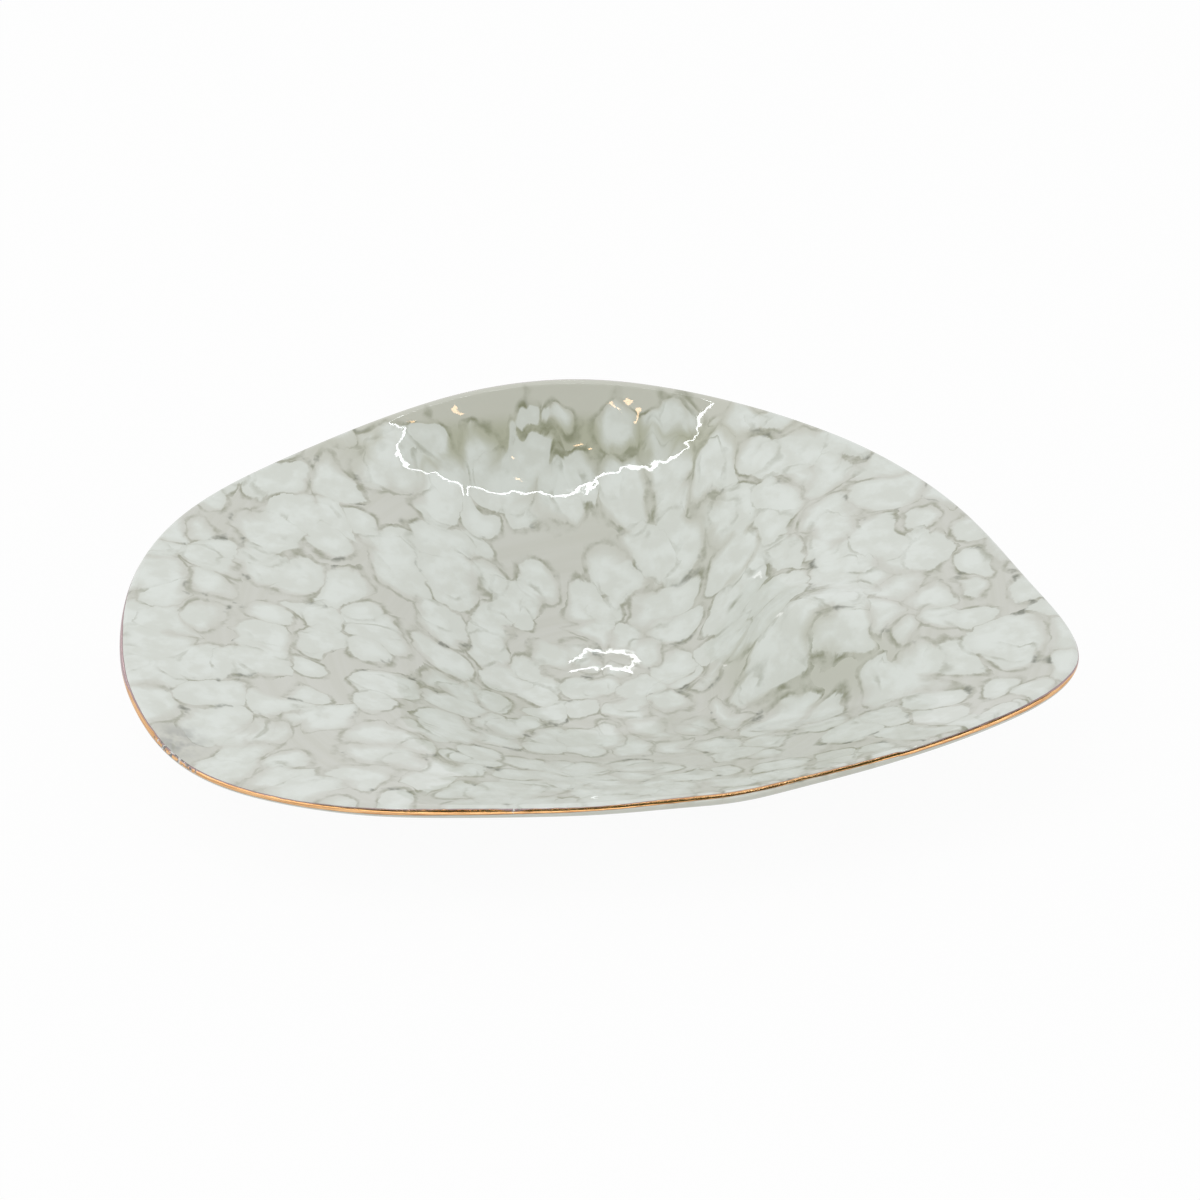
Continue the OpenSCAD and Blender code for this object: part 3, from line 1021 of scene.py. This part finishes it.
# %% Floor
plain_white = (1, 1, 1, 1)
half = 6.0
floor_corners = [(-half, -half, 0), (half, -half, 0), (half, half, 0), (-half, half, 0)]
floor_mesh = bpy.data.meshes.new("floor")
floor_mesh.from_pydata(floor_corners, [], [(0, 1, 2, 3)])
floor = new_object("floor", floor_mesh)
floor_material, floor_nodes, floor_shader = new_material("white_floor")
fill(floor_shader, {"Base Color": (0.9, 0.9, 0.9, 1), "Roughness": 0.9, "Specular IOR Level": 0.1})
white = add(floor_nodes, "ShaderNodeEmission", {"Color": plain_white, "Strength": 1.0}).outputs[0]
floor_path = add(floor_nodes, "ShaderNodeLightPath").outputs
floor_seen = calc("MAXIMUM", floor_path["Is Camera Ray"], floor_path["Is Glossy Ray"])
veil = times(floor_seen, 0.95)
floor_mix = add(floor_nodes, "ShaderNodeMixShader", {0: veil, 1: floor_shader.outputs[0], 2: white})
floor_nodes.links.new(floor_mix.outputs[0], floor_nodes.nodes["Material Output"].inputs[0])
floor_mesh.materials.append(floor_material)

# %% World
world = bpy.data.worlds.new("studio")
bpy.context.scene.world = world
world.use_nodes = True
sky = world.node_tree
sky.nodes.clear()
light_path = add(sky, "ShaderNodeLightPath").outputs
seen = calc("MAXIMUM", light_path["Is Camera Ray"], light_path["Is Glossy Ray"])
even_light = 0.72
strength = times_plus(seen, 1 - even_light, even_light)
background = add(sky, "ShaderNodeBackground", {"Color": plain_white, "Strength": strength})
add(sky, "ShaderNodeOutputWorld", {0: background.outputs[0]})

# %% Places on the tent
tent_radius = 2.4
cool_white = (0.93, 0.97, 1.0, 1)


def tent_point(azimuth, elevation, radius=tent_radius):
    """A point of the tent: azimuth 0 is behind the camera, and 90 is on the right, in degrees."""
    a, e = math.radians(azimuth), math.radians(elevation)
    return look_at + Vector((math.sin(a) * math.cos(e), -math.cos(a) * math.cos(e), math.sin(e))) * radius


def tent_object(name, points, faces, colour, strength):
    """A lit or dark thing on the tent, which only gloss can see."""
    mesh = bpy.data.meshes.new(name)
    mesh.from_pydata([tuple(p) for p in points], [], faces)
    made = new_object(name, mesh)
    material = bpy.data.materials.new(name)
    material.use_nodes = True
    material.cycles.emission_sampling = "NONE"
    nodes = material.node_tree
    nodes.nodes.clear()
    glow = add(nodes, "ShaderNodeEmission", {"Color": colour, "Strength": strength})
    add(nodes, "ShaderNodeOutputMaterial", {0: glow.outputs[0]})
    mesh.materials.append(material)
    made.visible_camera = False
    made.visible_diffuse = False
    return made


def tent_ribbon(name, route, colour, strength):
    """A lit ribbon along an open route of azimuths, elevations and widths, all in degrees."""
    steps_between = 8
    fine = []
    for here, there in zip(np.array(route[:-1]), np.array(route[1:])):
        fine += [here + (there - here) * k / steps_between for k in range(steps_between)]
    fine.append(np.array(route[-1]))
    points = [tent_point(p[0], p[1]) for p in fine]
    last = len(points) - 1
    sides = []
    for n, point in enumerate(points):
        ahead, behind = points[min(n + 1, last)], points[max(n - 1, 0)]
        half_width = math.radians(fine[n][2]) / 2 * tent_radius
        side = (ahead - behind).cross(point - look_at).normalized() * half_width
        sides += [point + side, point - side]
    faces = [(2 * n, 2 * n + 1, 2 * n + 3, 2 * n + 2) for n in range(last)]
    return tent_object(name, sides, faces, colour, strength)


# %% [markdown]
# ## Things that only gloss sees
# Under the dark panel a warm strip of light is left open. A lit frame stands behind the bowl, high
# enough to be mirrored over the back rim, and a white screen with a small hole hides it from most of
# the glaze. A low glow behind the bowl, on the left, is for the nose. Four small lamps are warm sparks.

# %% The tent's open front
seam = [
    (-38, 55.2, 0.9), (-30, 56.0, 0.85), (-23, 57.5, 0.75), (-14, 60.5, 0.75), (-8, 63.7, 0.75),
    (5, 67.5, 0.7), (15, 67.9, 0.65), (30, 67.2, 0.7), (40, 66.8, 0.7), (48, 66.6, 0.7), (54, 66.4, 0.7),
    (58, 66.0, 0.65), (62, 64.6, 0.6), (66, 61.6, 0.6), (72, 60.8, 0.6), (84, 61.0, 0.8),
]
front_foot = 12
behind_seam = tent_radius * 1.02
front_points, front_faces = [], []
for number, (azimuth, elevation, _) in enumerate(seam):
    for share in (0.0, 0.5, 1.0):
        height = front_foot + (elevation - front_foot) * share
        front_points.append(tent_point(azimuth, height, behind_seam))
    if number:
        first = 3 * number - 3
        front_faces += [(first + n, first + n + 3, first + n + 4, first + n + 1) for n in (0, 1)]
tent_object("open_front", front_points, front_faces, (0.10, 0.11, 0.05, 1), 1.0)
tent_ribbon("front_seam", seam, cool_white, 13.0)
front_gap = [(azimuth, 6.5, 11) for azimuth in (-75, -40, 0, 40, 75)]
tent_ribbon("front_gap", front_gap, (1.0, 0.95, 0.86, 1), 2.5)

# %% Lit frame behind the bowl, seen through a hole in a white screen
back_frame = [
    (178.0, 43.0, 0.22), (177.4, 44.2, 0.14), (180.3, 43.0, 0.2), (184.6, 43.9, 0.2), (182.6, 42.4, 0.16),
    (180.8, 39.4, 0.14), (180.3, 38.1, 0.15), (180.2, 37.2, 0.18), (180.0, 38.1, 0.18),
]
tent_ribbon("back_frame", back_frame, cool_white, 16.0)
screen_distance = 0.4
screen_elevation = math.radians(40)
screen_way = Vector((0, math.cos(screen_elevation), math.sin(screen_elevation)))
screen_middle = well + screen_way * screen_distance
across_screen = Vector((1, 0, 0))
up_screen = (screen_middle - well).cross(across_screen).normalized()
# Half width, half height and bend of the hole, then of the screen. A bend under one squares a ring.
screen_rings = [(0.021, 0.036, 0.4), (0.32, 0.32, 1.0)]
hole_left, hole_down = 0.004, 0.003
ring_steps = 24


def bent(value, bend):
    return math.copysign(abs(value) ** bend, value)


screen_points = []
for half_width, half_height, bend in screen_rings:
    for n in range(ring_steps):
        t = math.tau * n / ring_steps
        beside = bent(math.cos(t), bend) * half_width - hole_left
        above = bent(math.sin(t), bend) * half_height - hole_down
        screen_points.append(screen_middle + across_screen * beside + up_screen * above)
screen_faces = [
    (n, (n + 1) % ring_steps, (n + 1) % ring_steps + ring_steps, n + ring_steps) for n in range(ring_steps)]
screen = tent_object("white_screen", screen_points, screen_faces, plain_white, 1.0)
screen.visible_shadow = False

# %% Glint on the nose, and small warm lamps
tent_ribbon("nose_glint", [(-128, 20, 3), (-134, 14, 6), (-137, 10, 3)], plain_white, 3.0)
warm_places = [(19, 49), (30, 62), (-3, 41), (-6, 44)]
lamp_half_width = 1.2
quarter_turns = (0, 1.57, 3.14, 4.71)
before_tent = tent_radius * 0.99
for number, (azimuth, elevation) in enumerate(warm_places):
    points = [
        tent_point(azimuth + lamp_half_width * math.cos(t), elevation + math.sin(t), before_tent)
        for t in quarter_turns]
    tent_object("warm_lamp_%d" % number, points, [(0, 1, 2, 3)], (1.0, 0.62, 0.32, 1), 12.0)

# %% Lamp
overhead_data = bpy.data.lights.new("overhead", "AREA")
overhead_data.size = 1.8
overhead_data.energy = 16
overhead = new_object("overhead", overhead_data)
overhead.location = tent_point(-40, 62, tent_radius * 1.1)
overhead.rotation_euler = (overhead.location - look_at).to_track_quat("Z", "Y").to_euler()
overhead.visible_glossy = False
print("lamp at", overhead.location)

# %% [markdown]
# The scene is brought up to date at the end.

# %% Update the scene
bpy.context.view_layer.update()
